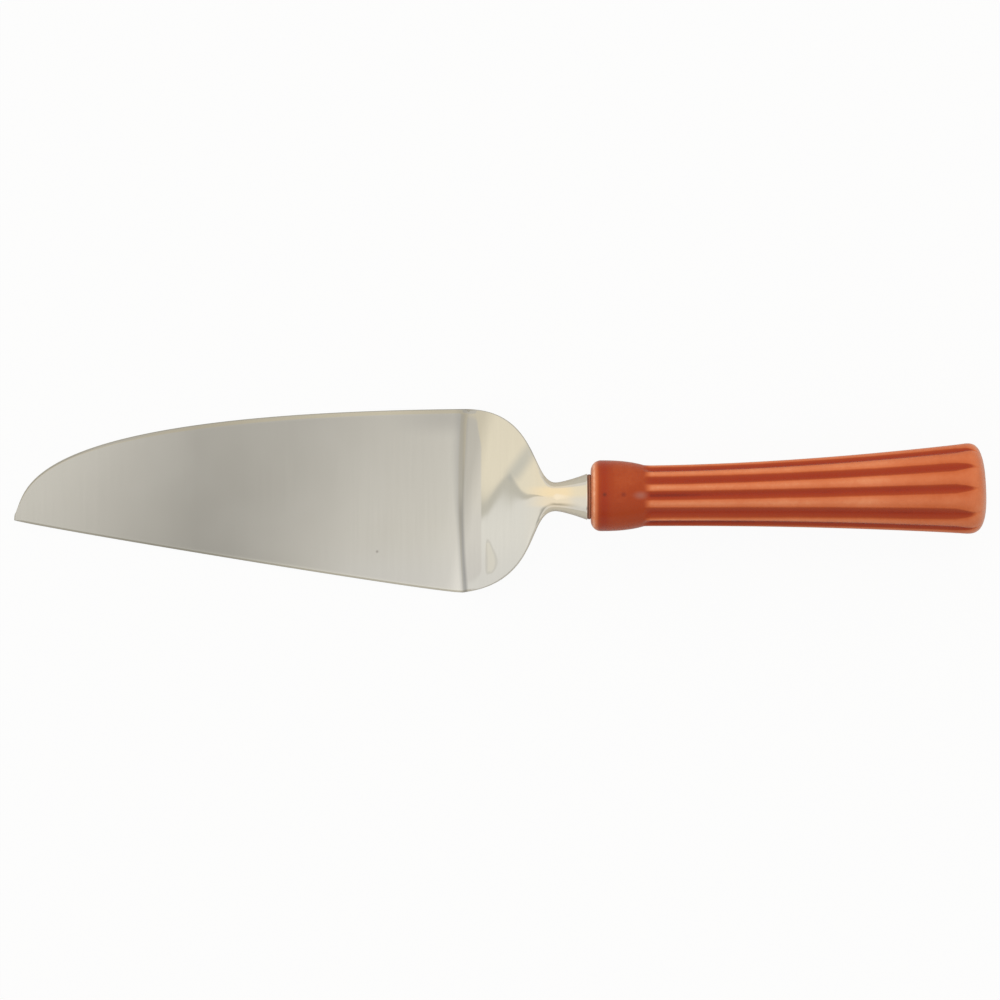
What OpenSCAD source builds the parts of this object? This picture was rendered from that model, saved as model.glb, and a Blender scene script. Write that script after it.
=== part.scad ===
// Cake server: a forged steel blade with a flat plate, a raised shoulder, a round
// neck and a trumpet-shaped bolster, cemented into a fluted, glazed ceramic handle.
// It lies as it does on a table: the plate is flat on z = 0 and the handle's rim
// rests there too. X runs along the server, from the tip towards the handle.
// The origin is on the plate's underside, halfway between its tip and its crease.

/* [Blade] */
// Length of the flat plate, from the tip to the crease
blade_len = 124; // [100:1:150]
// How far the bowed edge stands from the neck's line, at the crease
bow_reach = 24.2; // [18:0.1:30]
// How far the straight edge stands from the neck's line, at the crease
heel_reach = 26.3; // [18:0.1:32]
// How far the tip lies from the neck's line, towards the straight edge
tip_drop = 5.8; // [2:0.1:12]
// Width of the blunted tip
tip_w = 1.3; // [0.6:0.1:3]
// Thickness of the plate
plate_t = 1.3; // [1:0.1:2.2]
// Thickness left at the ground edges
edge_t = 0.6; // [0.3:0.1:0.8]
// Width of the ground band along the bowed edge
bow_bevel_w = 1.2; // [0.4:0.1:2.5]
// Width of the ground band along the straight edge
heel_bevel_w = 0.6; // [0.3:0.1:2.5]

/* [Shoulder and neck] */
// Length of the shoulder, from the crease to the thinnest place of the neck
shoulder_len = 25.3; // [18:0.1:36]
// Angle at which the shoulder leaves the plate
crease_angle = 36; // [20:1:45]
// How far the crease arches towards the tip, at the middle of the blade
crease_arch = 1; // [0:0.1:2]
// Diameter of the neck at its thinnest
neck_d = 7.9; // [6:0.1:10]
// Height of the neck's middle above the table
neck_h = 14.5; // [13.5:0.1:19]

/* [Bolster] */
// Length of the bolster, from the neck to its mouth
bolster_len = 8.7; // [6:0.1:14]
// Diameter of the bolster's mouth
bolster_d = 12.6; // [11:0.1:15]
// Chamfer round the mouth
lip = 0.25; // [0.1:0.05:0.5]
// Depth of the blind socket in the bolster's back, which holds the tang
socket_depth = 3; // [1:0.1:4]

/* [Tang and setting] */
// Diameter of the tang
tang_d = 5.5; // [4:0.1:6]
// Length of the tang that stands out of the bolster
tang_len = 62; // [40:1:66]
// Depth of the notches that key the tang into the cement
notch_depth = 0.6; // [0.2:0.1:1]
// Length of a notch along the tang
notch_len = 3; // [1.5:0.1:4]
// Distance from one notch to the next
notch_pitch = 8; // [6:0.5:12]
// Thickness of the sealing ring between bolster and handle
ring_t = 0.9; // [0.5:0.1:1.5]
// Outer diameter of the sealing ring
ring_d = 12.4; // [9.5:0.1:13]
// Diameter of the handle's bore
bore_d = 9; // [8:0.1:9.4]
// How far the handle's bore runs on past the tang's end
bore_run_on = 8.8; // [5:0.1:14]

/* [Handle] */
// Length of the handle, from its front face to the top of its domed end
handle_len = 108.8; // [95:0.2:130]
// Diameter of the plain collar at the front
collar_d = 19.5; // [18:0.1:24]
// Radius that rounds the front of the collar
front_round = 2.8; // [1:0.1:3]
// Length of the collar, from the front face to the waist
collar_len = 14.2; // [10:0.1:20]
// Diameter over the ridges at the waist
waist_d = 17.1; // [15:0.1:17.9]
// Diameter over the ridges at the rim, where the handle is widest
rim_d = 25.3; // [22:0.1:27]
// How far the domed end stands out past the rim
dome_len = 5.6; // [3:0.1:8]
// How far the handle is set off the blade's line, towards the bowed edge
off_line = 0.3; // [0:0.1:0.6]
// How far the handle bends to that side by its rim, as fired
rim_bend = 2; // [0:0.1:3]
// Angle by which the domed end is out of square, as fired
end_skew = 2.5; // [0:0.1:4]

/* [Flutes] */
// Number of flutes round the handle
flute_count = 12; // [8:1:14]
// Width of a flute
flute_w = 3; // [2:0.1:3.1]
// Depth of a flute
flute_depth = 0.7; // [0.3:0.05:1]
// Length over which a flute sinks in behind the waist
flute_run_in = 3; // [1.5:0.1:6]
// Length over which a flute narrows and runs out round the rim
flute_run_out = 7; // [4:0.1:10]

/* [Hidden] */
$fn = 72;

// Gap left all round where the cement shrinks as it sets
set_gap = 0.05;
// Gap that the solder fills round the tang in its socket
solder_gap = 0.03;
// Clear space between the tang and the sealing ring
ring_clearance = 0.2;
// Space that the cement leaves free at the bottom of the bore
bore_air = 2;
// How far a cut runs past the face that it starts from
overrun = 0.5;

// The outlines are cubic curves. Their two middle points are placed by shares of the
// length and of the rise that each curve spans.
bow_shares = [[0.03, 0.21], [-0.02, 0.96]];
heel_shares = [[0.03, 0.08], [1, 1.08]];
bow_shoulder_shares = [[0.82, 0], [0.72, 1]];
heel_shoulder_shares = [[0.85, 0.14], [0.67, 1]];
// Seen from the side, the shoulder leaves the crease and enters the neck along
// straight tangents, these shares of its length
side_shares = [0.33, 0.25];
// How quickly the shoulder thickens, and how quickly it rounds, towards the neck
thicken_power = 4;
rounding_power = 1.3;
// How quickly the crease's arch fades towards the tip and towards the neck
arch_fade_power = 5;
// How quickly the bolster opens towards its mouth, how quickly the collar narrows towards
// the waist, and how quickly the handle flares and bends towards its rim
bolster_power = 1.25;
collar_power = 2.5;
flare_power = 1.88;
bend_power = 1.4;
// Roundness of the domed end: 2 is an ellipse, more is squarer
dome_power = 2.8;
// A ground band takes at most this share of the blade's half width
bevel_limit_share = 0.2;
// The flutes end this share of the way from the rim to the top of the dome
flute_end_share = 0.7;
// A flute narrows to this share of its width as it runs out
flute_tip_share = 0.2;
// Where a ring of the handle has its points across a flute, as shares of half its width
flute_shares = [-1, -0.6, -0.25, 0.25, 0.6, 1];
// The dome's last ring, as an angle from the rim to the top
dome_stop = 86;

// Rings along each stretch of the two lofts, and points across one face of the blade
plate_steps = 26;
shoulder_steps = 18;
bolster_steps = 8;
front_steps = 4;
collar_steps = 8;
run_in_steps = 4;
body_steps = 14;
dome_steps = 11;
across = 15;

tip_x = -blade_len / 2;
crease_x = blade_len / 2;
neck_x = crease_x + shoulder_len;
neck_r = neck_d / 2;
mouth_r = bolster_d / 2;
tang_r = tang_d / 2;
collar_r = collar_d / 2;
waist_r = waist_d / 2;
rim_r = rim_d / 2;
rim_z = handle_len - dome_len;
flute_end_z = rim_z + flute_end_share * dome_len;
handle_z = bolster_len + ring_t;
bore_len = tang_len - ring_t + bore_run_on;

// The rim's lowest ridges touch the table on either side of the lowest flute. That sets
// how far the line of the bolster and the handle dips on its way from the neck to the rim.
rim_reach = handle_z + rim_z;
rim_low = rim_r * cos(flute_half_angle(rim_z));
dip = asin(neck_h / norm([rim_reach, rim_low])) - atan(rim_low / rim_reach);

// The direction of that line, and the one that is up from it
along = [cos(dip), 0, -sin(dip)];
upward = [sin(dip), 0, cos(dip)];

// The angle that a length spans along a circle
function arc_angle(length, radius) = length / radius * 180 / PI;

function mix(a, b, share) = a + (b - a) * share;

// A point on the cubic curve from p[0] to p[3], drawn towards p[1] and p[2]
function cubic(p, u) =
    pow(1 - u, 3) * p[0] + 3 * u * pow(1 - u, 2) * p[1]
    + 3 * u * u * (1 - u) * p[2] + pow(u, 3) * p[3];

// The direction of that curve
function cubic_way(p, u) =
    pow(1 - u, 2) * (p[1] - p[0]) + 2 * u * (1 - u) * (p[2] - p[1]) + u * u * (p[3] - p[2]);

// The height of that curve at a given x, found by halving
function cubic_at(p, x, low = 0, high = 1, halvings = 26) =
    let (middle = (low + high) / 2, point = cubic(p, middle))
    halvings == 0 ? point[1]
    : point[0] < x ? cubic_at(p, x, middle, high, halvings - 1)
    : cubic_at(p, x, low, middle, halvings - 1);

// A cubic curve between two points, its middle points at shares of the span
function curve_between(a, b, shares) =
    [a, for (s = shares) [mix(a[0], b[0], s[0]), mix(a[1], b[1], s[1])], b];

bow_edge = curve_between([tip_x, tip_w / 2 - tip_drop], [crease_x, bow_reach], bow_shares);
heel_edge = curve_between([tip_x, -tip_w / 2 - tip_drop], [crease_x, -heel_reach], heel_shares);
bow_shoulder = curve_between([crease_x, bow_reach], [neck_x, neck_r], bow_shoulder_shares);
heel_shoulder = curve_between([crease_x, heel_reach], [neck_x, neck_r], heel_shoulder_shares);

// The shoulder's middle line, seen from the side
side_line = [
    [crease_x, plate_t / 2],
    [crease_x + side_shares[0] * shoulder_len,
     plate_t / 2 + side_shares[0] * shoulder_len * tan(crease_angle)],
    [neck_x - side_shares[1] * shoulder_len,
     neck_h + side_shares[1] * shoulder_len * tan(dip)],
    [neck_x, neck_h]
];

// The angle of a point across a round section, from one side of the blade to the other
function round_angle(i) = -90 + 180 * (i + 0.5) / across;

// Where a flat section has that point, as a share of the half width: the outer two
// on each side are the edge and the inner end of its ground band
function flat_share(i, half_w) =
    i == 0 ? -1
    : i == across - 1 ? 1
    : i == 1 ? min(heel_bevel_w / half_w, bevel_limit_share) - 1
    : i == across - 2 ? 1 - min(bow_bevel_w / half_w, bevel_limit_share)
    : 2 * i / (across - 1) - 1;

// A ring of points round the blade. `ripe` runs from 0, a flat plate with ground
// edges, to 1, the round neck. `near` says how much of the crease's arch it takes.
function blade_ring(middle, slope, stretch, low_y, high_y, ripe, near) =
    let (
        half_w = (high_y - low_y) / 2,
        growth = pow(ripe, thicken_power) * (1 + thicken_power * (1 - ripe)),
        half_t = mix(plate_t / 2, neck_r, growth),
        rounding = pow(ripe, rounding_power)
    )
    [for (face = [1, -1], step = [0:across - 1])
        let (
            i = face > 0 ? step : across - 1 - step,
            at_edge = i == 0 || i == across - 1,
            share = mix(flat_share(i, half_w), sin(round_angle(i)), rounding),
            flat_t = face > 0 && at_edge ? edge_t - plate_t / 2 : face * plate_t / 2,
            rise = stretch * mix(flat_t, face * half_t * cos(round_angle(i)), rounding),
            arch = crease_arch * near * (1 - share * share)
        )
        [middle[0] - rise * sin(slope) - arch,
         (low_y + high_y) / 2 + share * half_w,
         middle[1] + rise * cos(slope)]];

// The flat plate. Its rings follow the bowed edge's curve, and crowd at both ends of it.
plate_rings = [for (k = [0:plate_steps - 1])
    let (edge = cubic(bow_edge, sin(90 * k / plate_steps)), ready = (edge[0] - tip_x) / blade_len)
    blade_ring([edge[0], plate_t / 2], 0, 1, cubic_at(heel_edge, edge[0]), edge[1], 0,
               pow(ready, arch_fade_power))];

// The shoulder. Its first ring lies in the crease and halves the bend.
shoulder_rings = [for (k = [0:shoulder_steps])
    let (
        u = k / shoulder_steps,
        middle = cubic(side_line, u),
        way = cubic_way(side_line, u),
        slope = k == 0 ? crease_angle / 2 : atan2(way[1], way[0]),
        stretch = k == 0 ? 1 / cos(slope) : 1,
        ripe = (middle[0] - crease_x) / shoulder_len
    )
    blade_ring(middle, slope, stretch, -cubic_at(heel_shoulder, middle[0]),
               cubic_at(bow_shoulder, middle[0]), ripe, pow(1 - ripe, arch_fade_power))];

// A round ring of the bolster, square to its line
function bolster_ring(z, r) =
    [for (face = [1, -1], step = [0:across - 1])
        let (a = round_angle(face > 0 ? step : across - 1 - step))
        [neck_x, r * sin(a), neck_h] + z * along + face * r * cos(a) * upward];

bolster_rings = [
    for (k = [1:bolster_steps])
        let (u = k / bolster_steps)
        bolster_ring(u * (bolster_len - lip), mix(neck_r, mouth_r, pow(u, bolster_power))),
    bolster_ring(bolster_len, mouth_r - lip)
];

// How far along the body a place is, from 0 at the waist to 1 at the rim
function body_share(z) = min(1, max(0, z - collar_len) / (rim_z - collar_len));

// Radius of the handle over its ridges, behind the waist
function flare_r(z) = mix(waist_r, rim_r, pow(body_share(z), flare_power));

// Radius of the handle over its ridges, from the rounded front to the domed end
function ridge_r(z) =
    z < front_round ? collar_r - front_round + sqrt(z * (2 * front_round - z))
    : z < collar_len
        ? mix(collar_r, waist_r, pow((z - front_round) / (collar_len - front_round), collar_power))
    : z < rim_z ? flare_r(z)
    : rim_r * pow(1 - pow((z - rim_z) / dome_len, dome_power), 1 / dome_power);

// How much of a flute's run-out still lies ahead, from 1 down to 0 at the flute's end
function run_out_share(z) = min(1, max(0, flute_end_z - z) / flute_run_out);

// How deep a flute is at this place, from 0 to 1
function sunk_share(z) =
    z < collar_len + flute_run_in ? sin(90 * max(0, z - collar_len) / flute_run_in)
    : 1 - pow(1 - run_out_share(z), 2);

// Half the angle that a flute spans at this place
function flute_half_angle(z) =
    arc_angle(flute_w / 2, flare_r(z)) * mix(flute_tip_share, 1, run_out_share(z));

// A ring of points round the handle: across each flute, then on the ridge beside it.
// A flute is a smooth scoop, deepest at its middle.
function handle_ring(z) =
    let (
        sunk = sunk_share(z),
        half_a = flute_half_angle(z),
        aside = off_line + rim_bend * pow(body_share(z), bend_power),
        skew = tan(end_skew) * max(0, z - rim_z) / dome_len,
        pitch = 360 / flute_count
    )
    [for (flute = [0:flute_count - 1], k = [0:len(flute_shares)])
        let (
            on_ridge = k == len(flute_shares),
            a = flute * pitch + (on_ridge ? pitch / 2 : flute_shares[k] * half_a),
            scoop = on_ridge ? 0 : sunk * flute_depth * pow(cos(90 * flute_shares[k]), 2),
            r = ridge_r(z) - scoop
        )
        [r * cos(a), aside + r * sin(a), z - skew * r * sin(a)]];

body_z = collar_len + flute_run_in;
ring_places = concat(
    [for (k = [0:front_steps]) front_round * (1 - cos(90 * k / front_steps))],
    [for (k = [1:collar_steps]) mix(front_round, collar_len, k / collar_steps)],
    [for (k = [1:run_in_steps]) collar_len + flute_run_in * k / run_in_steps],
    [for (k = [1:body_steps]) mix(body_z, rim_z, k / body_steps)],
    [for (k = [1:dome_steps])
        rim_z + dome_len * pow(sin(dome_stop * k / dome_steps), 2 / dome_power)]
);

// A closed skin over rings that have as many points each. Each end is closed by a ladder
// of triangles, from the points that run out along the ring to those that come back.
module loft(rings) {
    count = len(rings[0]);
    last = len(rings) - 1;
    sides = [for (k = [0:last - 1], j = [0:count - 1])
        let (a = k * count + j, b = k * count + (j + 1) % count)
        each [[a, b, b + count], [a, b + count, a + count]]];
    ends = [for (j = [0:count / 2 - 2], top = [0, last * count])
        let (out = [top + j, top + j + 1], back = [top + count - 2 - j, top + count - 1 - j])
        each top == 0
            ? [[out[1], out[0], back[1]], [out[1], back[1], back[0]]]
            : [[out[0], out[1], back[0]], [out[0], back[0], back[1]]]];
    polyhedron([for (ring = rings) each ring], concat(sides, ends));
}

// What is drawn here has its axis on the bolster's line, with z counted from the neck
module on_bolster_line() {
    translate([neck_x, 0, neck_h])
        rotate([0, 90 + dip, 0])
            children();
}

// Half the tang's outline, with its notches; `grow` makes the room that the cement leaves
function tang_outline(grow) =
    let (
        r = tang_r + grow,
        floor_r = r - notch_depth,
        start_z = bolster_len - socket_depth + solder_gap,
        end_z = bolster_len + tang_len + grow
    )
    [
        [0, start_z],
        [r, start_z],
        for (z = [handle_z + notch_pitch / 2:notch_pitch:end_z - notch_pitch])
            each [[r, z + grow], [floor_r, z + grow], [floor_r, z + notch_len - grow],
                  [r, z + notch_len - grow]],
        [r, end_z - notch_depth],
        [floor_r, end_z],
        [0, end_z]
    ];

// One forging: plate, shoulder, neck and bolster, with a socket drilled for the tang
module blade() {
    color([0.76, 0.75, 0.71])
        difference() {
            loft(concat(plate_rings, shoulder_rings, bolster_rings));
            on_bolster_line()
                translate([0, 0, bolster_len - socket_depth])
                    cylinder(r = tang_r + solder_gap, h = socket_depth + overrun);
        }
}

// Notched rod, soldered into the socket in the bolster's back
module tang() {
    color([0.62, 0.62, 0.6])
        on_bolster_line()
            rotate_extrude()
                polygon(tang_outline(0));
}

// Dark ring that seals the joint between the bolster and the handle
module sealing_ring() {
    color([0.25, 0.12, 0.08])
        on_bolster_line()
            translate([0, 0, bolster_len])
                difference() {
                    cylinder(d = ring_d, h = ring_t);
                    translate([0, 0, -overrun])
                        cylinder(r = tang_r + ring_clearance, h = ring_t + 2 * overrun);
                }
}

// Cement that fills the bore round the tang
module cement() {
    color([0.85, 0.82, 0.76])
        on_bolster_line()
            difference() {
                translate([0, off_line, handle_z])
                    cylinder(d = bore_d - 2 * set_gap, h = bore_len - bore_air);
                rotate_extrude()
                    polygon(tang_outline(set_gap));
            }
}

// Glazed ceramic handle: plain collar, fluted and flared body, domed end, blind bore
module handle() {
    color([0.78, 0.37, 0.22])
        on_bolster_line()
            translate([0, 0, handle_z])
                difference() {
                    loft([for (z = ring_places) handle_ring(z)]);
                    translate([0, off_line, -overrun])
                        cylinder(d = bore_d, h = bore_len + overrun);
                }
}

blade();
tang();
sealing_ring();
cement();
handle();
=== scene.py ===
import math

import bpy
import numpy as np
from mathutils import Matrix, Vector


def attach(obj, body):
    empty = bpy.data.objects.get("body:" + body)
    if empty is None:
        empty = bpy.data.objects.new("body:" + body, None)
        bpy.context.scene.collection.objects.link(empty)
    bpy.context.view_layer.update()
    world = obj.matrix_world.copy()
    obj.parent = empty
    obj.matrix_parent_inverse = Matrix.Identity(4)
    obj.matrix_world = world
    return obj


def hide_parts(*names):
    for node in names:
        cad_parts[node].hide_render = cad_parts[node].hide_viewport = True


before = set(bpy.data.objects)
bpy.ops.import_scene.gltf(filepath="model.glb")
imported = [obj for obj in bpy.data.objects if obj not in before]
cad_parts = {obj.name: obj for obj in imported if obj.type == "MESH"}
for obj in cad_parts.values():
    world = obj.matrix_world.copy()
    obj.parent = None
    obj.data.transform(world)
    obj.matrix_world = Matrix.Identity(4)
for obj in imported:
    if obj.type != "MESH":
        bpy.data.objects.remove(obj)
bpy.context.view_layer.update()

# THE BLADE
# One stainless steel forging, polished all over: a flat plate with two ground edges, a
# shoulder bent up from it, a round neck, and a bolster that opens like a trumpet. A blind
# socket in the bolster's back takes the tang. Lengths are in millimetres.
blade_len = 124
bow_reach = 24.2
heel_reach = 26.3
tip_drop = 5.8
tip_w = 1.3
nose_len = 0.35
plate_t = 1.3
edge_t = 0.6
bow_bevel_w = 1.15
heel_bevel_w = 0.6
corner_r = 0.2
shoulder_len = 25.3
crease_slope = math.radians(36)
crease_arch = 1
crease_bend_at_bow = 1.5
crease_bend_at_heel = 0.35
neck_r = 3.95
neck_h = 14.5
bolster_len = 8.7
mouth_r = 6.3
lip_r = 0.25
socket_r = 2.78
socket_depth = 3
tip_x = -blade_len / 2
crease_x = blade_len / 2
neck_x = crease_x + shoulder_len
# Behind the neck the handle dips until its rim is down on the table. The rim touches it this
# far along the handle's line and this far under it.
rim_reach = 112.8
rim_low = 12.613
handle_dip = math.asin(neck_h / math.hypot(rim_reach, rim_low)) - math.atan(rim_low / rim_reach)


def curve_between(a, b, shares):
    """The four points of a cubic curve from a to b, its middle ones at shares of the span."""
    a, b = np.array(a, float), np.array(b, float)
    return [a, *(a + (b - a) * np.array(s) for s in shares), b]


def height_of(curve):
    """A function that gives the curve's height at any x."""
    a, b, c, d = curve
    u = np.linspace(0, 1, 3000)[:, None]
    points = (1 - u) ** 3 * a + 3 * u * (1 - u) ** 2 * b + 3 * u**2 * (1 - u) * c + u**3 * d
    return lambda x: np.interp(x, points[:, 0], points[:, 1])


# The outline seen from above: the bowed edge and the heel edge of the plate, and then the
# shoulder's two sides, which run in to the neck.
bow_start, bow_end = (tip_x, tip_w / 2 - tip_drop), (crease_x, bow_reach)
heel_start, heel_end = (tip_x, -tip_w / 2 - tip_drop), (crease_x, -heel_reach)
bow_at = height_of(curve_between(bow_start, bow_end, [(0.03, 0.21), (-0.02, 0.96)]))
heel_at = height_of(curve_between(heel_start, heel_end, [(0.03, 0.08), (1, 1.08)]))
bow_shoulder_at = height_of(curve_between(bow_end, (neck_x, neck_r), [(0.82, 0), (0.72, 1)]))
heel_shoulder_at = height_of(curve_between(heel_end, (neck_x, -neck_r), [(0.85, 0.14), (0.67, 1)]))

# The shoulder seen from the side: it leaves the plate at the crease's slope, and comes into the
# neck on the handle's line.
leaving = 0.33 * shoulder_len
arriving = 0.25 * shoulder_len
rise_at_neck = neck_h - plate_t / 2
side_rise_at = height_of([
    np.array([crease_x, 0.0]),
    np.array([crease_x + leaving, leaving * math.tan(crease_slope)]),
    np.array([neck_x - arriving, rise_at_neck + arriving * math.tan(handle_dip)]),
    np.array([neck_x, rise_at_neck]),
])


def smooth(share):
    """A share from 0 to 1 that leaves and arrives level."""
    share = np.clip(share, 0, 1)
    return share * share * (3 - 2 * share)


def blade_rise(x, bend):
    """How far the middle of the steel stands above the plate's. The crease is bent round over
    `bend` each way."""
    ahead = x - crease_x
    end = side_rise_at(crease_x + bend)
    end_slope = (side_rise_at(crease_x + bend + 0.05) - end) / 0.05
    u = np.clip((ahead + bend) / (2 * bend), 0, 1)
    bent = end * (3 * u**2 - 2 * u**3) + end_slope * 2 * bend * (u**3 - u**2)
    return np.where(ahead > bend, side_rise_at(np.maximum(x, crease_x)), bent)


# Hand polishing left the shoulder's top a little off its true shape. It is crowned across, and
# highest along this crest, which wanders from the heel side to the bowed side and back.
crest_x = crease_x + np.array([0, 5.6, 7.2, 9.4, 11.5, 13.2, 14.9, 16.5, 18.2, 22.3, 25.3])
crest_y = np.array([-6.5, -4.9, -3.4, 1.2, 5.4, 8.0, 5.0, 1.6, -0.6, -2.0, 0])
crown_slope = 0.019
crown_round = 3.5
# It is also steeper next to the crease, over this length, or less of it at the bowed side. The
# height that this adds dies away behind.
steep_len = 5.7
steep_less = 1.2
steep_more = 0.085
steep_fade = 9.5
# A dent lies on its heel side, shaped like a drop that points towards the bowed edge. It starts
# here, and its width is given at places from its round foot to its point.
dent_x = 68.7
dent_y = -21.5
dent_len = 10.1
dent_w = 2.7
dent_depth = 0.06
dent_up = [0, 0.04, 0.17, 0.3, 0.43, 0.56, 0.69, 0.82, 0.95, 1]
dent_wide = [0.25, 0.5, 0.85, 1, 1, 0.85, 0.65, 0.45, 0.2, 0.1]


def crowned(x, y):
    """A low crown across the shoulder, on either side of the crest."""
    from_crest = y - np.interp(x, crest_x, crest_y)
    return -crown_slope * crown_round * np.log(np.cosh(from_crest / crown_round))


def in_dent(x, y):
    """1 inside the dent's outline, and 0 outside."""
    up = np.clip((y - dent_y) / dent_len, 0, 1)
    from_left = (x - dent_x) / (dent_w * np.interp(up, dent_up, dent_wide))
    sides = smooth(from_left / 0.5 + 0.5) * smooth((1 - from_left) / 0.5 + 0.5)
    return sides * smooth(up / 0.1) * smooth((1 - up) / 0.15)


def hand_finish(x, y, low, high):
    """How far the shoulder's top stands off its true shape. It is nothing at its two edges,
    which are at `low` and `high`."""
    ahead = x - crease_x
    shorter = steep_less * smooth((y - 13) / 7)
    past = 0.25 * np.logaddexp(0, (ahead - steep_len + shorter) / 0.25)
    steep = steep_more * (np.clip(ahead, 0, None) - past) * np.exp(-past / steep_fade)
    steep = steep * smooth((high - y) / 5) * smooth((y - low) / 5)
    share = (y - low) / (high - low)
    crown = crowned(x, y) - crowned(x, low) * (1 - share) - crowned(x, high) * share
    before_neck = smooth((neck_x - x) / 8)
    return (steep + crown * smooth(ahead / 6)) * before_neck - dent_depth * in_dent(x, y)


# Every ring round the blade has the same points: some over each ground edge, and the rest
# between them. Underneath it has as many again.
edge_steps = 9
inner_steps = 75
across = 2 * edge_steps + inner_steps
round_turns = -math.pi / 2 + math.pi * (np.arange(across) + 0.5) / across


def edge_profile(band_w, ground):
    """In from the edge and up: the rounded corner, the ground band, and its rounded inner end.
    `ground` is the share of the band's full depth."""
    r = corner_r
    cut = (plate_t - edge_t) * ground
    at_inner_end = [band_w - 1.2 * r, band_w - 0.4 * r, band_w + 0.4 * r, band_w + 1.2 * r]
    inward = np.array([0, 0.3 * r, r, 0.35 * band_w, *at_inner_end, band_w + 3 * r])
    height = plate_t - cut + cut / band_w * inward
    height[0] -= 0.9 * r
    height[1] -= 0.25 * r
    height[-4:] = plate_t - np.array([0.25 * r, 0.05 * r, 0, 0]) * ground
    return inward, height


def blade_ring(x):
    """The points round the blade at this place along it: over the top from the heel edge, and
    back underneath. From flat at the crease it grows round towards the neck."""
    ripe = np.clip((x - crease_x) / shoulder_len, 0, 1)
    rounding = ripe**1.8
    half_t = plate_t / 2 + (neck_r - plate_t / 2) * ripe**4 * (1 + 4 * (1 - ripe))
    if x < crease_x:
        half_w = (bow_at(x) - heel_at(x)) / 2
        arch_share = ((x - tip_x) / blade_len) ** 5
    else:
        half_w = (bow_shoulder_at(x) - heel_shoulder_at(x)) / 2
        arch_share = (1 - ripe) ** 5
    # The ground bands run out behind the crease, and the bowed edge's narrows towards the tip.
    ground = 1 - 0.9 * float(smooth((x - crease_x) / 4))
    bow_band_w = bow_bevel_w * float(0.55 + 0.45 * smooth((x - tip_x) / 60))
    bands = [edge_profile(heel_bevel_w, ground), edge_profile(bow_band_w, ground)]
    heel_in, bow_in = (inward * min(1, 0.3 * half_w / inward[-1]) / half_w for inward, _ in bands)
    inner = np.linspace(heel_in[-1] - 1, 1 - bow_in[-1], inner_steps + 2)[1:-1]
    flat_top = np.concatenate([heel_in - 1, inner, (1 - bow_in)[::-1]])
    top_h = np.concatenate([bands[0][1], np.full(inner_steps, plate_t), bands[1][1][::-1]])
    under_h = np.zeros(across)
    under_h[[0, -1]] = corner_r
    under_h[[1, -2]] = 0.3 * corner_r
    sides = []
    for flat_h, face in ((top_h, 1), (under_h, -1)):
        share = flat_top + (np.sin(round_turns) - flat_top) * rounding
        bowed = smooth((share + 1) / 2)
        bend = crease_bend_at_heel + (crease_bend_at_bow - crease_bend_at_heel) * bowed
        # Near the crease the rings crowd into the bend, which is wider at the bowed side.
        own_x = np.full(across, float(x))
        if abs(x - crease_x) < crease_bend_at_bow:
            own_x = crease_x + (x - crease_x) * bend / crease_bend_at_bow
        low = np.where(own_x < crease_x, heel_at(own_x), heel_shoulder_at(own_x))
        high = np.where(own_x < crease_x, bow_at(own_x), bow_shoulder_at(own_x))
        wide = low + (high - low) * (1 + share) / 2
        rise = blade_rise(own_x, bend)
        slope = np.arctan((blade_rise(own_x + 0.02, bend) - blade_rise(own_x - 0.02, bend)) / 0.04)
        if x >= neck_x - 0.03:
            slope = np.full(across, -handle_dip)
        if face > 0:
            rise = rise + hand_finish(own_x, wide, low, high)
        flat_off = flat_h - plate_t / 2
        off = flat_off + (face * half_t * np.cos(round_turns) - flat_off) * rounding
        back = off * np.sin(slope) + crease_arch * arch_share * (1 - share**2)
        points = np.stack([own_x - back, wide, plate_t / 2 + rise + off * np.cos(slope)], axis=1)
        sides.append(points if face > 0 else points[::-1])
    return np.concatenate(sides)


to_bolster_line = np.array(Matrix.Rotation(math.pi / 2 + handle_dip, 3, "Y"))


def round_ring(z, r):
    """A round ring on the bolster's line, its points in step with the blade's."""
    turns = np.concatenate([round_turns, math.pi - round_turns[::-1]])
    flat = np.stack([-r * np.cos(turns), r * np.sin(turns), np.full(2 * across, float(z))], axis=1)
    return flat @ to_bolster_line.T + np.array([neck_x, 0, neck_h])


def skin_over(name, rings, joined=False, smooth_angle=40):
    """A mesh piece over rings of points, in millimetres. Its last ring joins the first one, or
    both ends are closed. Facets that meet at more than the angle keep a crisp edge."""
    count = len(rings[0])
    points = np.concatenate(rings) * 0.001
    faces = []
    for k in range(len(rings) if joined else len(rings) - 1):
        here, there = k * count, (k + 1) % len(rings) * count
        for j in range(count):
            after = (j + 1) % count
            faces.append((here + j, there + j, there + after, here + after))
    ends = () if joined else ((0, True), ((len(rings) - 1) * count, False))
    for start, flip in ends:
        middle = len(points)
        points = np.vstack([points, points[start:start + count].mean(axis=0)])
        for j in range(count):
            a, b = start + j, start + (j + 1) % count
            faces.append((a, b, middle) if flip else (b, a, middle))
    mesh = bpy.data.meshes.new(name)
    mesh.from_pydata([tuple(p) for p in points], [], faces)
    mesh.shade_smooth()
    mesh.set_sharp_from_angle(angle=math.radians(smooth_angle))
    piece = bpy.data.objects.new(name, mesh)
    bpy.context.scene.collection.objects.link(piece)
    return piece


def mark_points(piece, name, values):
    """Gives each point of a piece a value that its finish can read."""
    values = np.asarray(values, np.float32)
    piece.data.attributes.new(name, "FLOAT", "POINT").data.foreach_set("value", values)


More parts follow.
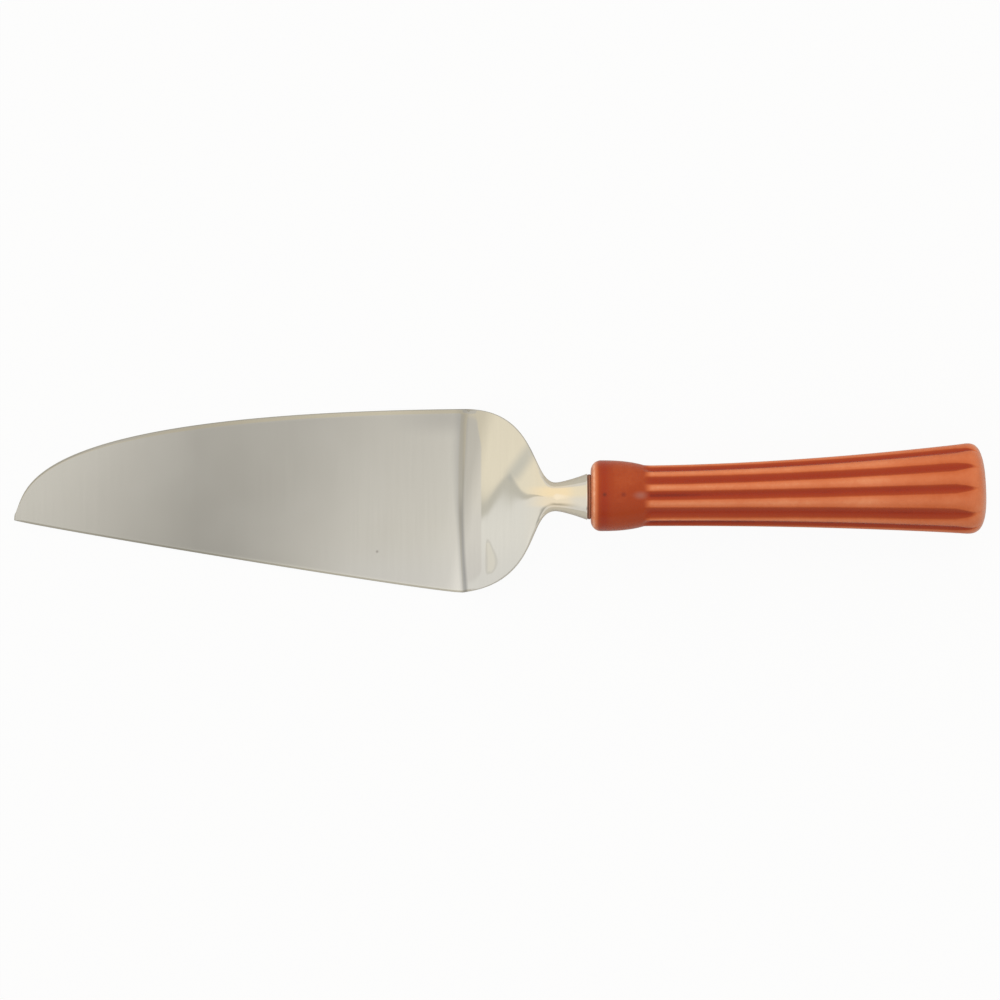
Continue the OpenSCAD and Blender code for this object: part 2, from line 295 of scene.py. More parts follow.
# The tip's blunt nose, the plate, the crease and the shoulder, then the bolster's trumpet, its
# lip, its back and the socket.
first_ring = blade_ring(tip_x + nose_len)
nose_middle = first_ring.mean(axis=0) * 0.15 + first_ring[[0, -1]].mean(axis=0) * 0.85
blade_rings = []
for share in (0.2, 0.5, 0.78, 0.94):
    ring = nose_middle + (first_ring - nose_middle) * share
    ring[:, 0] = tip_x + nose_len * (1 - math.sqrt(1 - share**2))
    blade_rings.append(ring)
plate_span = blade_len - nose_len - crease_bend_at_bow
plate_xs = tip_x + nose_len + plate_span * smooth(np.linspace(0, 1, 110) ** 0.8)
bend_xs = crease_x + crease_bend_at_bow * np.sin(np.linspace(-1, 1, 17)[1:-1] * math.pi / 2)
shoulder_xs = np.linspace(crease_x + crease_bend_at_bow, neck_x, 160)
blade_rings += [blade_ring(x) for x in (*plate_xs, *bend_xs, *shoulder_xs)]
lip_z = bolster_len - lip_r
for share in np.linspace(0, 1, 31)[1:]:
    blade_rings.append(round_ring(share * lip_z, neck_r + (mouth_r - neck_r) * share**1.35))
for turn in np.radians((30, 60, 90)):
    lip_in = lip_r * (1 - math.cos(turn))
    blade_rings.append(round_ring(lip_z + lip_r * math.sin(turn), mouth_r - lip_in))
socket_end = bolster_len - socket_depth
for z, r in (
    (bolster_len, 4.5),
    (bolster_len, socket_r),
    (bolster_len - 0.3, socket_r),
    (socket_end, socket_r),
    (socket_end, 1),
):
    blade_rings.append(round_ring(z, r))
blade = skin_over("blade_forging", blade_rings)

# The ground bands run along both edges, on top, until just behind the crease. They are marked for
# a painted highlight.
over_edge = np.array([0.5, 0.8, 1, 1, 1, 0.9, 0.5, 0.2, 0])
over_ring = [over_edge, np.zeros(inner_steps), 0.5 * over_edge[::-1], np.zeros(across)]
ground_end_x = crease_x + 2
band_highlight_marks = [
    np.concatenate(over_ring) * (ring[:, 0].max() < ground_end_x) for ring in blade_rings
]
mark_points(blade, "ground_band", np.concatenate([*band_highlight_marks, [0, 0]]))
# Where the dent is, the steel's top lies half a millimetre nearer the tip than its middle.
places = np.array([v.co for v in blade.data.vertices]) * 1000
dent_marks = in_dent(places[:, 0] + 0.5, places[:, 1])
mark_points(blade, "dent", np.where(places[:, 2] > 2, dent_marks, 0))


def add(tree, kind, settings=None, inputs=None):
    """A new node, its inputs set to values or joined to other nodes' outputs."""
    made = tree.nodes.new("ShaderNode" + kind)
    for name, value in (settings or {}).items():
        setattr(made, name, value)
    for key, value in (inputs or {}).items():
        if isinstance(value, bpy.types.NodeSocket):
            tree.links.new(value, made.inputs[key])
        else:
            made.inputs[key].default_value = value
    return made


def reckon(tree, operation, *values):
    """A Math node's result."""
    return add(tree, "Math", {"operation": operation}, dict(enumerate(values))).outputs[0]


def times(tree, a, b):
    """Two values multiplied."""
    return reckon(tree, "MULTIPLY", a, b)


def spread(tree, value, low, high, to_low=0.0, to_high=1.0, ease="SMOOTHSTEP"):
    """The value, taken from one range to another."""
    ranges = {0: value, 1: low, 2: high, 3: to_low, 4: to_high}
    return add(tree, "MapRange", {"interpolation_type": ease}, ranges).outputs[0]


def blended(tree, share, a, b):
    """Two colours mixed by a share."""
    return add(tree, "Mix", {"data_type": "RGBA"}, {0: share, 6: a, 7: b}).outputs[2]


def toned(tree, share, stops):
    """A colour that runs through the stops, each a place and a colour, as a share grows."""
    ramp = add(tree, "ValToRGB", None, {0: share})
    elements = ramp.color_ramp.elements
    while len(elements) < len(stops):
        elements.new(0.5)
    for element, (at, colour) in zip(elements, stops):
        element.position = at
        element.color = (*colour, 1)
    return ramp.outputs[0]


def raised(tree, height, strength, distance):
    """The normal of a surface with this relief."""
    inputs = {"Strength": strength, "Distance": distance, "Height": height}
    return add(tree, "Bump", None, inputs).outputs[0]


def effect_group(name, inputs, outputs):
    """An empty node group with these inputs, each with its default or None for a place, and
    these outputs."""
    group = bpy.data.node_groups.new(name, "ShaderNodeTree")
    for title, default in inputs.items():
        kind = "NodeSocketVector" if default is None else "NodeSocketFloat"
        socket = group.interface.new_socket(title, in_out="INPUT", socket_type=kind)
        if default is not None:
            socket.default_value = default
    for title in outputs:
        group.interface.new_socket(title, in_out="OUTPUT", socket_type="NodeSocketFloat")
    came = group.nodes.new("NodeGroupInput").outputs
    return group, came, group.nodes.new("NodeGroupOutput").inputs


def use_group(tree, group, inputs):
    """The outputs of a group placed in a material with its own values."""
    return add(tree, "Group", {"node_tree": group}, inputs).outputs


def finish_named(name):
    """An empty material and its nodes."""
    material = bpy.data.materials.new(name)
    material.use_nodes = True
    material.node_tree.nodes.clear()
    return material, material.node_tree


def place_on_server(tree):
    """Where each point of a surface is."""
    return add(tree, "TexCoord").outputs["Object"]


def surface(tree, settings):
    """Ends a material in one Principled shader with these inputs."""
    shader = add(tree, "BsdfPrincipled", None, settings)
    add(tree, "OutputMaterial", None, {"Surface": shader.outputs[0]})


# Fine parallel lines, as a polishing belt leaves them across the steel, and slow clouds between.
polish_lines, came, gone = effect_group(
    "polish_lines", {"Coordinates": None, "Lines": 900.0}, ("Lines", "Cloud")
)
drawn_out = {0: came["Coordinates"], 1: (1, 0.03, 0.2)}
stretched = add(polish_lines, "VectorMath", {"operation": "MULTIPLY"}, drawn_out).outputs[0]
fine = {"Vector": stretched, "Scale": came["Lines"], "Detail": 4.0, "Roughness": 0.6}
slow = {"Vector": came["Coordinates"], "Scale": 45.0, "Detail": 2.0, "Roughness": 0.5}
for title, noise in (("Lines", fine), ("Cloud", slow)):
    polish_lines.links.new(add(polish_lines, "TexNoise", None, noise).outputs[0], gone[title])

# A round spot that fades out from its middle, where a bit of grit or iron marked the surface.
spot_mark, came, gone = effect_group(
    "spot_mark", {"Coordinates": None, "Middle": None, "Stretch": None, "Radius": 0.001}, ("Mask",)
)
offset = came["Coordinates"]
for operation, by in (("SUBTRACT", came["Middle"]), ("MULTIPLY", came["Stretch"])):
    offset = add(spot_mark, "VectorMath", {"operation": operation}, {0: offset, 1: by}).outputs[0]
distance = add(spot_mark, "VectorMath", {"operation": "LENGTH"}, {0: offset}).outputs["Value"]
spot_mark.links.new(spread(spot_mark, distance, 0.0, came["Radius"], 1.0, 0.0), gone["Mask"])

# In the finishes, lengths are in metres.
polished_steel, tree = finish_named("polished_steel")
place = place_on_server(tree)
along_x, across_y, _ = add(tree, "SeparateXYZ", None, {0: place}).outputs
lines = use_group(tree, polish_lines, {"Coordinates": place, "Lines": 1500.0})
# Over the steel's own colour, its greys paint a reflection: they run from the tip to the shoulder,
# and slant more towards the crease.
steel_tint = np.array([1, 0.965, 0.875])
painted_reflection_greys = [
    (0.0, 0.575), (0.13, 0.515), (0.25, 0.43), (0.34, 0.37), (0.42, 0.385), (0.54, 0.46),
    (0.66, 0.545), (0.76, 0.58), (0.80, 0.60), (0.835, 0.64), (0.858, 0.80),
]
slant = spread(tree, along_x, 0.0, 0.05, 0.0, -0.22)
slanted = reckon(tree, "MULTIPLY_ADD", across_y, slant, along_x)
from_tip = spread(tree, slanted, -0.062, 0.087, ease="LINEAR")
steel_tone = toned(tree, from_tip, [(at, grey * steel_tint) for at, grey in painted_reflection_greys])
# Painted reflections: towards the tip the plate is lighter along the bowed edge, and towards the
# crease along the heel edge, where it is also cooler.
reflection_lean = times(tree, across_y, spread(tree, along_x, -0.01, 0.02, 4.7, -1.9))
leaned = {0: steel_tone, "Scale": reckon(tree, "ADD", reflection_lean, 1.0)}
steel_tone = add(tree, "VectorMath", {"operation": "SCALE"}, leaned).outputs[0]
near_heel = spread(tree, across_y, -0.024, -0.008, 0.3, 0.0)
cool_heel_reflection = times(tree, near_heel, spread(tree, along_x, 0.01, 0.04))
steel_tone = blended(tree, cool_heel_reflection, steel_tone, (0.58, 0.575, 0.58, 1))
# The belt's lines and clouds, a grit mark, and a painted highlight on the ground bands.
steel_tone = blended(tree, times(tree, lines["Lines"], 0.1), steel_tone, (0.25, 0.24, 0.22, 1))
clouds = spread(tree, lines["Cloud"], 0.35, 0.75, 0.0, 0.05)
steel_tone = blended(tree, clouds, steel_tone, (0.8, 0.79, 0.76, 1))
grit_place = {"Middle": (0.03805, -0.0151, 0.0013), "Stretch": (1, 1, 1), "Radius": 0.0006}
grit = use_group(tree, spot_mark, {"Coordinates": place, **grit_place})["Mask"]
steel_tone = blended(tree, times(tree, grit, 0.5), steel_tone, (0.15, 0.13, 0.11, 1))
ground_band = add(tree, "Attribute", {"attribute_name": "ground_band"}).outputs["Fac"]
band_highlight = times(tree, ground_band, spread(tree, along_x, -0.03, 0.03, 0.1, 0.5))
steel_tone = blended(tree, band_highlight, steel_tone, (0.82, 0.79, 0.70, 1))
# A painted dark reflection follows the crease's arch, wider before the crease than behind it, and
# wider at the bowed side.
off_middle = reckon(tree, "DIVIDE", reckon(tree, "ADD", across_y, 0.00105), 0.02525)
arch = reckon(tree, "POWER", reckon(tree, "ABSOLUTE", off_middle), 2.0)
arch_top = spread(tree, across_y, -0.012, 0.003, 0.0613, 0.0611)
arch_line = reckon(tree, "MULTIPLY_ADD", arch, 0.0012, arch_top)
past_crease = reckon(tree, "SUBTRACT", along_x, arch_line)
before_w = spread(tree, across_y, -0.012, 0.015, 0.0018, 0.0034)
behind_w = spread(tree, across_y, -0.012, 0.015, 0.0010, 0.0017)
before = reckon(tree, "DIVIDE", times(tree, past_crease, -1.0), before_w)
behind = reckon(tree, "DIVIDE", past_crease, behind_w)
crease_reflection_mask = spread(tree, reckon(tree, "MAXIMUM", before, behind), 0.0, 1.0, 1.0, 0.0)
crease_reflection_strength = spread(tree, across_y, -0.006, 0.003, 0.60, 0.40)
steel_tone = blended(tree, times(tree, crease_reflection_mask, crease_reflection_strength), steel_tone, (0.22, 0.22, 0.22, 1))
# A painted dark reflection makes the plate darker in its corner between the crease and the bowed
# edge.
bow_corner_reflection = times(
    tree, spread(tree, across_y, 0.0155, 0.0215), spread(tree, along_x, 0.036, 0.058)
)
bow_corner_reflection = times(tree, bow_corner_reflection, spread(tree, along_x, 0.0600, 0.0625, 0.26, 0.0))
steel_tone = blended(tree, bow_corner_reflection, steel_tone, (0.25, 0.24, 0.23, 1))
# A painted grey reflection runs as a streak over the shoulder up to the bowed edge. It starts
# here, and goes this much along the server and this much across it.
streak_start = (0.0768, 0.0078)
streak_along, streak_across = 0.60, 0.80
streak_x = reckon(tree, "SUBTRACT", along_x, streak_start[0])
streak_y = reckon(tree, "SUBTRACT", across_y, streak_start[1])
beside_streak = reckon(
    tree, "SUBTRACT", times(tree, streak_x, streak_across), times(tree, streak_y, streak_along)
)
up_streak = reckon(
    tree, "ADD", times(tree, streak_x, streak_along), times(tree, streak_y, streak_across)
)
in_streak = spread(tree, reckon(tree, "ABSOLUTE", beside_streak), 0.0002, 0.0034, 0.62, 0.0)
reflection_streak = times(tree, in_streak, spread(tree, up_streak, -0.0050, -0.0015))
steel_tone = blended(tree, reflection_streak, steel_tone, (0.46, 0.49, 0.52, 1))
# Painted reflections on the dent: a warmer glow inside it, and a darker rim.
dent = add(tree, "Attribute", {"attribute_name": "dent"}).outputs["Fac"]
dent_rim_reflection = times(tree, dent, reckon(tree, "SUBTRACT", 1.0, dent))
steel_tone = blended(tree, times(tree, dent, 0.5), steel_tone, (0.74, 0.69, 0.57, 1))
steel_tone = blended(tree, times(tree, dent_rim_reflection, 1.4), steel_tone, (0.50, 0.48, 0.43, 1))
# A painted warm reflection gives the top of the neck a faint straw colour.
neck_warm_reflection = times(
    tree, spread(tree, along_x, 0.077, 0.086), spread(tree, along_x, 0.0895, 0.0935, 1.0, 0.35)
)
off_line_y = reckon(tree, "ABSOLUTE", across_y)
neck_warm_reflection = times(tree, neck_warm_reflection, spread(tree, off_line_y, 0.0020, 0.0034, 1.0, 0.25))
steel_tone = blended(tree, neck_warm_reflection, steel_tone, (0.93, 0.80, 0.60, 1))
# The plate is satin, and the shoulder, neck and bolster are mirror bright.
on_plate = spread(tree, along_x, 0.055, 0.066, 1.0, 0.0)
shine = reckon(tree, "MULTIPLY_ADD", on_plate, 0.15, 0.04)
shine = reckon(tree, "MULTIPLY_ADD", lines["Lines"], 0.03, shine)
relief = raised(tree, times(tree, lines["Lines"], on_plate), 0.05, 0.00002)
surface(tree, {"Base Color": steel_tone, "Metallic": 1.0, "Roughness": shine, "Normal": relief})
blade.data.materials.append(polished_steel)
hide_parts("blade")
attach(blade, "root")

# THE TANG
# A notched steel rod, soldered into the bolster's socket and buried in the handle's cement.
# It keeps its solid and gets the dull skin of steel as it comes off the lathe.
turned_steel, tree = finish_named("turned_steel")
place = place_on_server(tree)
lines = use_group(tree, polish_lines, {"Coordinates": place, "Lines": 2200.0})
rod_tone = blended(tree, lines["Cloud"], (0.32, 0.31, 0.3, 1), (0.5, 0.49, 0.47, 1))
shine = reckon(tree, "MULTIPLY_ADD", lines["Lines"], 0.3, 0.25)
relief = raised(tree, lines["Lines"], 0.3, 0.00005)
surface(tree, {"Base Color": rod_tone, "Metallic": 1.0, "Roughness": shine, "Normal": relief})
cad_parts["tang"].data.materials.clear()
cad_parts["tang"].data.materials.append(turned_steel)

# THE SEALING RING
# A bead of dark brown resin that closes the joint between the bolster and the handle. It was
# pressed out as the two were pushed together, so its outside is round. It is paler on its handle
# side.
ring_t = 0.9
ring_r = 6.2
ring_bore_r = 2.95
ring_bulge = 0.28
bead_rings = []
for share in np.linspace(0, 1, 13):
    short = ring_bulge * (1 - math.sin(math.pi * share)) ** 1.5
    bead_rings.append(round_ring(bolster_len + ring_t * share, ring_r - short))
for share in np.linspace(1, 0, 4)[:-1]:
    bead_rings.append(round_ring(bolster_len + ring_t * share, ring_bore_r))
sealing_bead = skin_over("sealing_bead", bead_rings, joined=True, smooth_angle=50)
dark_resin, tree = finish_named("dark_resin")
place = place_on_server(tree)
mottled = {"Vector": place, "Scale": 700.0, "Detail": 3.0}
mottle = add(tree, "TexNoise", None, mottled).outputs[0]
resin_tone = blended(tree, mottle, (0.10, 0.032, 0.018, 1), (0.22, 0.09, 0.05, 1))
along_x = add(tree, "SeparateXYZ", None, {0: place}).outputs[0]
handle_side_share = spread(tree, along_x, 0.0961, 0.0967)
resin_tone = blended(tree, handle_side_share, resin_tone, (0.42, 0.17, 0.09, 1))
shine = spread(tree, mottle, 0.3, 0.7, 0.4, 0.6)
relief = raised(tree, mottle, 0.4, 0.0001)
surface(tree, {"Base Color": resin_tone, "Roughness": shine, "Normal": relief})
sealing_bead.data.materials.append(dark_resin)
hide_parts("sealing_ring")
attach(sealing_bead, "root")

# THE CEMENT
# Pale cement that was poured round the tang and fills the handle's bore. It keeps its solid and
# gets the grain of a set filling, with sand, and small air holes drawn as spots of painted shade.
set_cement, tree = finish_named("set_cement")
place = place_on_server(tree)
sandy = {"Vector": place, "Scale": 1400.0, "Detail": 5.0, "Roughness": 0.7}
sand = add(tree, "TexNoise", None, sandy).outputs[0]
air_hole_shade = add(tree, "TexVoronoi", None, {"Vector": place, "Scale": 600.0}).outputs[0]
cement_tone = blended(tree, sand, (0.55, 0.51, 0.44, 1), (0.82, 0.79, 0.72, 1))
air_hole_shade = spread(tree, air_hole_shade, 0.0, 0.2, 0.5, 0.0)
cement_tone = blended(tree, air_hole_shade, cement_tone, (0.3, 0.27, 0.23, 1))
relief = raised(tree, sand, 0.6, 0.0002)
surface(tree, {"Base Color": cement_tone, "Roughness": 0.9, "Normal": relief})
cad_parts["cement"].data.materials.clear()
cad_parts["cement"].data.materials.append(set_cement)

# THE HANDLE
# Slip-cast ceramic, fired in a burnt orange glaze: a plain collar, twelve flutes that start behind
# the waist, a body that flares to the rim, and a domed end. The glaze runs thin and pale over the
# ridges and the rim, and gathers dark in the flutes. The rim's paleness is partly a painted
# highlight. The collar's front has a painted highlight with painted shade behind it, and the heel
# side has painted shade.
handle_len = 108.8
collar_r = 9.75
front_round = 2.8
collar_len = 14.2
waist_r = 8.55
rim_r = 12.65
dome_len = 5.6
dome_power = 2.8
off_line = 0.3
rim_bend = 2
end_skew = math.tan(math.radians(2.4))
flute_count = 12
flute_w = 3
flute_depth = 0.7
ridge_round = 0.06
run_in = 3
run_out = 7
bore_r = 4.5
bore_len = 69.9
rim_z = handle_len - dome_len
flute_end_z = rim_z + 0.7 * dome_len
# The mould's flutes were carved by hand: two of them stand out of their places, by these degrees,
# and one is this many times as wide. The front of another is darker.
flute_turns = {7: 5, 8: 3.5}
flute_widths = {7: 1.4}
darker_flute_fronts = {6: 0.16}
# How deep the glaze lies, from 0 to 1: on the collar, and how much less round its front, which
# paints a highlight there, and more behind that, which paints shade, on a ridge and how much more
# beside it, over the rim, where its low value is partly a painted highlight, and in the bore.
collar_glaze = 0.6
front_highlight = 0.62
behind_front_shade = 0.38
ridge_glaze = 0.08
beside_more = 0.12
rim_glaze_and_highlight = 0.12
bore_glaze = 0.9


def body_share(z):
    """How far along the body a place is, from 0 at the waist to 1 at the rim."""
    return min(1, max(0, z - collar_len) / (rim_z - collar_len))


def flare_at(z):
    """The radius over the ridges from the waist to the rim."""
    return waist_r + (rim_r - waist_r) * body_share(z) ** 1.88


def ridge_at(z):
    """The handle's radius over its ridges, from the collar's front to the domed end."""
    if z < front_round:
        return collar_r - front_round + math.sqrt(z * (2 * front_round - z))
    if z < collar_len:
        share = (z - front_round) / (collar_len - front_round)
        return collar_r + (waist_r - collar_r) * share**2.5
    if z < rim_z:
        return flare_at(z)
    return rim_r * max(0, 1 - ((z - rim_z) / dome_len) ** dome_power) ** (1 / dome_power)


def run_out_share(z):
    """How much of the flutes' run-out still lies ahead, from 1 to 0 at their ends."""
    return min(1, max(0, flute_end_z - z) / run_out)


def sunk_share(z):
    """How far the flutes have sunk in at this place."""
    opening = min(1, max(0, z - collar_len) / run_in)
    return math.sin(opening * math.pi / 2) * (1 - (1 - run_out_share(z)) ** 2)


# Points across a flute from edge to edge, with how deep each lies, and points over a ridge, with
# how high each swells.
flute_steps = np.linspace(-1, 1, 14)
scoop = 1 - 1.75 * flute_steps**2 + 0.75 * flute_steps**4
ridge_steps = np.linspace(0, 1, 14)[1:-1]
swell = np.sin(math.pi * ridge_steps)


def handle_ring(z):
    """The points round the handle at z, and how deep the glaze lies at each, with painted
    highlights and shade worked in.
    """
    sunk = sunk_share(z)
    r = ridge_at(z)
    half_flute = flute_w / 2 / flare_at(z) * (0.2 + 0.8 * run_out_share(z))
    pitch = 2 * math.pi / flute_count
    # A painted highlight round the collar's front, and painted shade just behind it.
    less = front_highlight * math.exp(-((z - 0.8) / 1.2) ** 2)
    more = behind_front_shade * math.exp(-((z - 3.4) / 1.6) ** 2)
    plain = collar_glaze - less + more
    # Behind the waist the glaze thins on the ridges, a little less so towards the rim.
    behind = float(smooth((z - collar_len) / 2.5))
    towards_rim = 0.03 * min(1, (z - collar_len) / 60) + 0.1 * float(smooth((z - 76) / 24))
    on_ridge = ridge_glaze + towards_rim
    beside = on_ridge + beside_more
    turns, radii, depths_and_light = [], [], []
    for flute in range(flute_count):
        following = (flute + 1) % flute_count
        middle = flute * pitch + math.radians(flute_turns.get(flute, 0))
        next_middle = (flute + 1) * pitch + math.radians(flute_turns.get(following, 0))
        half = half_flute * flute_widths.get(flute, 1)
        land = next_middle - middle - half - half_flute * flute_widths.get(following, 1)
        drop = ridge_round * sunk * r * land
        front_darkening = darker_flute_fronts.get(flute, 0) * behind * float(smooth((collar_len + 27 - z) / 22))
        turns += [middle + flute_steps * half, middle + half + ridge_steps * land]
        radii += [r - sunk * flute_depth * scoop - drop * (1 - scoop), r - drop * (1 - swell)]
        in_flute = beside + (1 - beside) * scoop**0.6
        over_ridge = on_ridge + beside_more * (1 - swell)
        depths_and_light.append(plain + (in_flute - plain) * behind + front_darkening * scoop)
        depths_and_light.append(plain + (over_ridge - plain) * behind)
    turns, radii, depths_and_light = map(np.concatenate, (turns, radii, depths_and_light))
    # Painted shade darkens the heel side, most near the waist. The rim and the domed end are
    # paler, partly with a painted highlight.
    heel_side_shade = 1.5 * np.clip(-np.sin(turns) - 0.78, 0, 0.2)
    depths_and_light = depths_and_light + heel_side_shade * (1 - body_share(z)) * behind
    rim_pale_share = float(smooth((z - rim_z + 0.5) / 3.5)) * (1 - 0.35 * sunk)
    depths_and_light = depths_and_light * (1 - rim_pale_share) + rim_glaze_and_highlight * rim_pale_share
    # The body bends to the bowed side, and the domed end stands a little askew.
    aside = off_line + rim_bend * body_share(z) ** 1.4
    skew = end_skew * max(0, z - rim_z) / dome_len
    out, up = radii * np.sin(turns), radii * np.cos(turns)
    return np.stack([up, aside + out, z - skew * out], axis=1), depths_and_light


# The outside from the domed end to the collar's front, and then the bore.
handle_zs = np.concatenate([
    front_round * (1 - np.cos(np.linspace(0, math.pi / 2, 14))),
    np.linspace(front_round, collar_len, 26)[1:],
    np.linspace(collar_len, collar_len + run_in, 14)[1:],
    np.linspace(collar_len + run_in, rim_z - 3, 60)[1:],
    np.linspace(rim_z - 3, rim_z, 8)[1:],
    rim_z + dome_len * np.sin(np.radians(np.linspace(0, 85.5, 36)[1:])) ** (2 / dome_power),
])
handle_rings, glaze_and_light_depths = zip(*(handle_ring(float(z)) for z in handle_zs[::-1]))
bore_turns = np.linspace(0, 2 * math.pi, len(handle_rings[0]), endpoint=False)
bore_rings = []
for z, r in (
    (0, bore_r + 0.3),
    (0.3, bore_r),
    (bore_len / 2, bore_r),
    (bore_len, bore_r),
    (bore_len, 0.6),
):
    out, up = r * np.sin(bore_turns), r * np.cos(bore_turns)
    bore_rings.append(np.stack([up, off_line + out, np.full(len(out), float(z))], axis=1))
handle_start = np.array([neck_x, 0, neck_h]) + (bolster_len + ring_t) * to_bolster_line[:, 2]
handle = skin_over(
    "handle_glazed",
    [ring @ to_bolster_line.T + handle_start for ring in (*handle_rings, *bore_rings)],
    smooth_angle=35,
)
bore_depths = np.full(len(bore_rings) * len(bore_turns), bore_glaze)
end_depths = [rim_glaze_and_highlight, bore_glaze]
mark_points(handle, "glaze_depth_and_painted_light", np.concatenate([*glaze_and_light_depths, bore_depths, end_depths]))

orange_glaze, tree = finish_named("orange_glaze")
place = place_on_server(tree)
drift = add(tree, "TexNoise", None, {"Vector": place, "Scale": 90.0, "Detail": 3.0}).outputs[0]
fleck = add(tree, "TexNoise", None, {"Vector": place, "Scale": 900.0, "Detail": 3.0}).outputs[0]
# The glaze's depth, with the painted light in it, wavers slowly, and in fine flecks. The colours
# run from where it is thinnest to where it is deepest, and the palest also give the painted
# highlights.
depth_and_light = add(tree, "Attribute", {"attribute_name": "glaze_depth_and_painted_light"}).outputs["Fac"]
for waver, strength in ((drift, 0.25), (fleck, 0.12)):
    waver = reckon(tree, "SUBTRACT", waver, 0.5)
    depth_and_light = reckon(tree, "ADD", depth_and_light, times(tree, waver, strength))
glaze_colours = [
    (0.0, (0.93, 0.44, 0.28)),
    (0.045, (0.73, 0.25, 0.115)),
    (0.12, (0.665, 0.185, 0.073)),
    (0.27, (0.565, 0.123, 0.035)),
    (0.53, (0.375, 0.047, 0.006)),
    (0.88, (0.335, 0.028, 0.003)),
    (1.0, (0.235, 0.017, 0.002)),
]
glaze_tone = toned(tree, times(tree, depth_and_light, 0.88), glaze_colours)
# Specks of iron burnt into the collar's glaze, and behind them a painted pale reflection on the
# collar's top.
for middle, stretch, radius, strength, colour in (
    ((0.1007, 0.0006, 0.0240), (1, 1, 1), 0.0009, 0.8, (0.14, 0.02, 0.008, 1)),
    ((0.1059, 0.0006, 0.0235), (1, 1, 1), 0.0011, 0.7, (0.20, 0.02, 0.008, 1)),
    ((0.1106, 0.0004, 0.0228), (0.5, 1, 1), 0.0016, 0.45, (0.40, 0.19, 0.16, 1)),
):
    speck_place = {"Middle": middle, "Stretch": stretch, "Radius": radius}
    speck = use_group(tree, spot_mark, {"Coordinates": place, **speck_place})["Mask"]
    glaze_tone = blended(tree, times(tree, speck, strength), glaze_tone, colour)
surface(tree, {
    "Base Color": glaze_tone,
    "Roughness": spread(tree, fleck, 0.3, 0.7, 0.22, 0.32),
    "Normal": raised(tree, drift, 0.15, 0.0002),
    "Specular IOR Level": 0.25,
    "Sheen Weight": 0.08,
    "Sheen Roughness": 0.4,
})
handle.data.materials.append(orange_glaze)
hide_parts("handle")
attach(handle, "root")

# THE TABLE
# A plain pale table top, which isn't part of the server. The server's underside lies a hair
# above it. The camera sees it nearly white, and polished steel sees a little of that.
table_reach = 4.0
table_z = -0.00006
table_top = bpy.data.meshes.new("table_top")
table_corners = [(-1, -1), (1, -1), (1, 1), (-1, 1)]
table_points = [(table_reach * x, table_reach * y, table_z) for x, y in table_corners]
table_top.from_pydata(table_points, [], [(0, 1, 2, 3)])
table = bpy.data.objects.new("table", table_top)
bpy.context.scene.collection.objects.link(table)
white_table, tree = finish_named("white_table")
matt = add(tree, "BsdfDiffuse", None, {"Color": (0.62, 0.61, 0.58, 1)})
glow = add(tree, "Emission", None, {"Color": (1, 1, 1, 1), "Strength": 1.0})
path = add(tree, "LightPath").outputs
seen = times(tree, path["Is Camera Ray"], 0.95)
lift = reckon(tree, "MAXIMUM", seen, times(tree, path["Is Glossy Ray"], 0.08))
mixed = add(tree, "MixShader", None, {0: lift, 1: matt.outputs[0], 2: glow.outputs[0]})
add(tree, "OutputMaterial", None, {"Surface": mixed.outputs[0]})
table_top.materials.append(white_table)

# THE LIGHT
# A white tent stands round the server: a warm panel on the bowed edge's side, a cooler one on
# the other, a grey floor line below them and a bright top. One soft lamp is on the warm side.
world = bpy.data.worlds.new("white_tent")
world.use_nodes = True
bpy.context.scene.world = world
tree = world.node_tree
tree.nodes.clear()
direction = add(tree, "TexCoord").outputs["Generated"]
to_handle, to_bow, upward = add(tree, "SeparateXYZ", None, {0: direction}).outputs
# Low down, the cool panel is in shade, except towards the tip.
low_down = spread(tree, upward, 0.45, 0.7, 1.0, 0.0)
in_shade = times(tree, spread(tree, to_handle, -0.6, -0.25), low_down)
cool_panel = blended(tree, in_shade, (0.88, 0.88, 0.86, 1), (0.5, 0.5, 0.48, 1))
# High up, the light from the two panels runs together.
half_blend = spread(tree, upward, 0.45, 0.75, 0.005, 0.30)
warm_share = spread(tree, to_bow, times(tree, half_blend, -1.0), half_blend)
tent_light = blended(tree, warm_share, cool_panel, (0.97, 0.91, 0.77, 1))
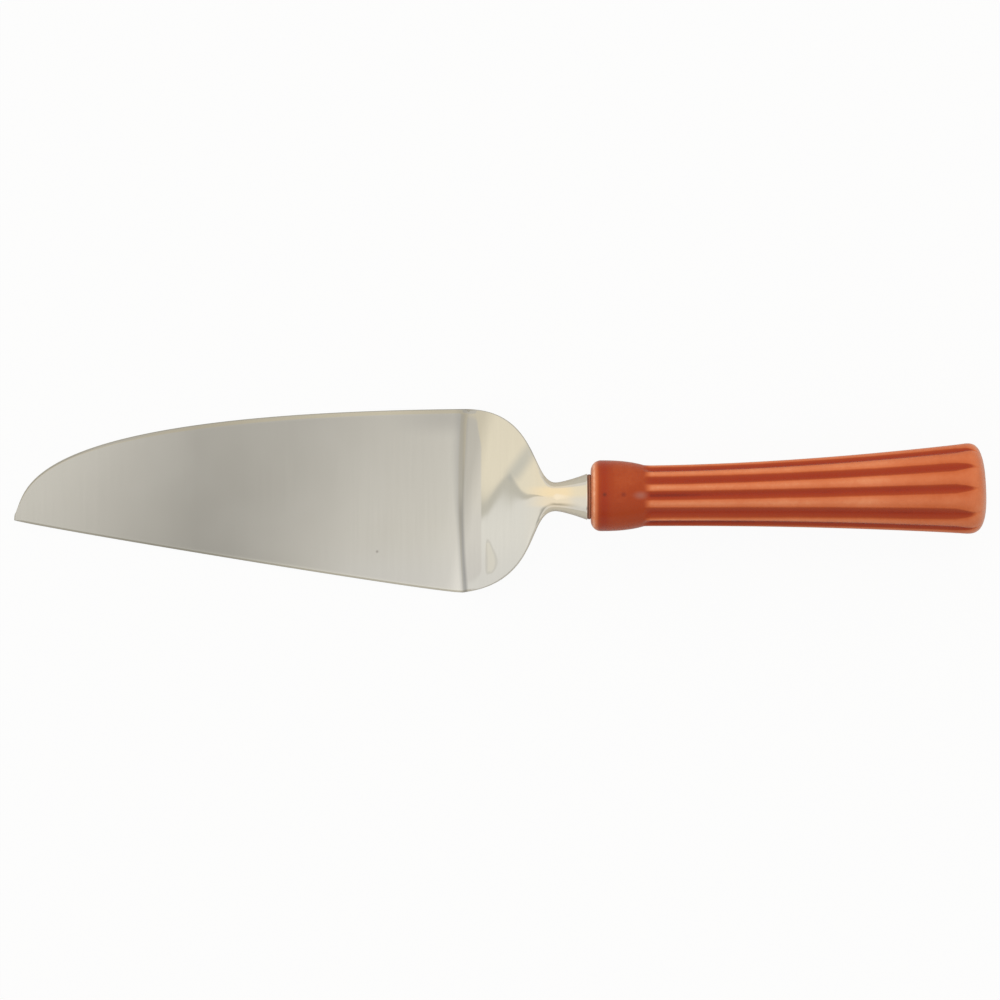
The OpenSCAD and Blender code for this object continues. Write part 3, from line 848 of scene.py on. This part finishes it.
# Low down, they meet in a darker gap.
from_seam = reckon(tree, "ABSOLUTE", to_bow)
gap = times(
    tree,
    spread(tree, from_seam, 0.008, 0.027, 1.0, 0.0),
    spread(tree, upward, 0.42, 0.6, 1.0, 0.0),
)
tent_light = blended(tree, gap, tent_light, (0.63, 0.62, 0.57, 1))
floor_side = spread(tree, to_bow, -0.02, 0.02)
floor_line = blended(tree, floor_side, (0.8, 0.79, 0.77, 1), (0.83, 0.81, 0.77, 1))
below = spread(tree, upward, 0.265, 0.315, 1.0, 0.0)
tent_light = blended(tree, below, tent_light, floor_line)
overhead = spread(tree, upward, 0.84, 0.96)
tent_light = blended(tree, overhead, tent_light, (1.0, 0.99, 0.96, 1))
path = add(tree, "LightPath").outputs
tent_tone = blended(tree, path["Is Camera Ray"], tent_light, (1, 1, 1, 1))
backdrop = add(tree, "Background", None, {"Color": tent_tone, "Strength": 1.0})
add(tree, "OutputWorld", None, {"Surface": backdrop.outputs[0]})

lamp_place = Vector((0.3, 1.6, 1.4))
server_middle = Vector((0.07, 0, 0))
key_lamp = bpy.data.lights.new("key_lamp", "AREA")
key_lamp.size = 2.0
key_lamp.energy = 9
key_lamp.color = (1, 0.98, 0.94)
lamp_stand = bpy.data.objects.new("key_lamp", key_lamp)
lamp_stand.location = lamp_place
lamp_stand.rotation_euler = (server_middle - lamp_place).to_track_quat("-Z", "Y").to_euler()
lamp_stand.visible_camera = False
lamp_stand.visible_glossy = False
bpy.context.scene.collection.objects.link(lamp_stand)

# THE CAMERA
# It looks straight down from far off, as the photograph does. At this height above the table
# its view is this wide.
camera_h = 8.0
view_h = 0.006
view_w = 0.2755
lens = bpy.data.cameras.new("camera")
camera = bpy.data.objects.new("camera", lens)
bpy.context.scene.collection.objects.link(camera)
camera.location = (0.07192, -0.00088, camera_h)
lens.sensor_width = 36
lens.lens = lens.sensor_width * (camera_h - view_h) / view_w
lens.clip_end = 100
bpy.context.scene.camera = camera
bpy.context.scene.view_settings.view_transform = "Standard"
